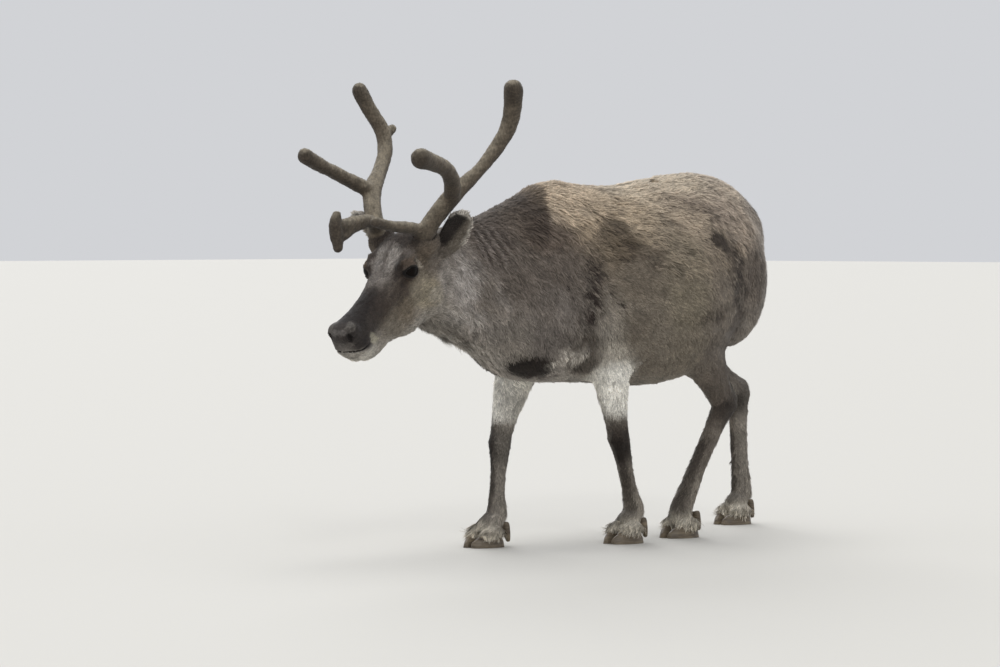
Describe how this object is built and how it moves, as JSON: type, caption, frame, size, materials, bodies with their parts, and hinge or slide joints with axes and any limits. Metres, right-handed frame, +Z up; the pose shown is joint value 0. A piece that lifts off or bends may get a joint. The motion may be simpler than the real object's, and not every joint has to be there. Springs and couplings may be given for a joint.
{
  "type": "reindeer, still life-size model",
  "caption": "Life-size walking reindeer with short legs, grey-brown summer coat and branched antlers in velvet.",
  "frame": {"origin": "on the floor, under the middle of the animal's box", "axes": "-X is the way the animal faces and walks, its left side is -Y, +Z is up"},
  "size_m": [1.6078, 0.4572, 1.0809],
  "materials": {
    "coat_body": "short dense grey-brown summer coat with paler tips",
    "coat_head": "short dark grey-brown hair, paler on jaw and forehead",
    "coat_leg": "short dark grey-brown hair, whitish down the back",
    "coat_neck": "longer pale grey coat with streaks",
    "eye": "wet dark brown eye",
    "horn": "dull black horn",
    "tail_hair": "whitish hair in flat locks",
    "velvet": "soft brown velvet with a pale bloom"
  },
  "bodies": {
    "root": {"antler_left_bez_tine": "velvet", "antler_left_brow_tine": "velvet", "antler_left_lower_beam": "velvet", "antler_left_upper_beam": "velvet", "antler_right_bez_tine": "velvet", "antler_right_brow_tine": "velvet", "antler_right_lower_beam": "velvet", "antler_right_upper_beam": "velvet", "ear_left": "coat_head", "ear_right": "coat_head", "eye_left": "eye", "eye_right": "eye", "front_left_cannon": "coat_leg", "front_left_forearm": "coat_leg", "front_left_inner_toe_dewclaw": "horn", "front_left_inner_toe_hoof": "horn", "front_left_outer_toe_dewclaw": "horn", "front_left_outer_toe_hoof": "horn", "front_right_cannon": "coat_leg", "front_right_forearm": "coat_leg", "front_right_inner_toe_dewclaw": "horn", "front_right_inner_toe_hoof": "horn", "front_right_outer_toe_dewclaw": "horn", "front_right_outer_toe_hoof": "horn", "head": "coat_head", "hind_left_cannon": "coat_leg", "hind_left_inner_toe_dewclaw": "horn", "hind_left_inner_toe_hoof": "horn", "hind_left_outer_toe_dewclaw": "horn", "hind_left_outer_toe_hoof": "horn", "hind_left_shank": "coat_leg", "hind_right_cannon": "coat_leg", "hind_right_inner_toe_dewclaw": "horn", "hind_right_inner_toe_hoof": "horn", "hind_right_outer_toe_dewclaw": "horn", "hind_right_outer_toe_hoof": "horn", "hind_right_shank": "coat_leg", "neck": "coat_neck", "tail": "tail_hair", "torso": "coat_body"}
  },
  "joints": []
}
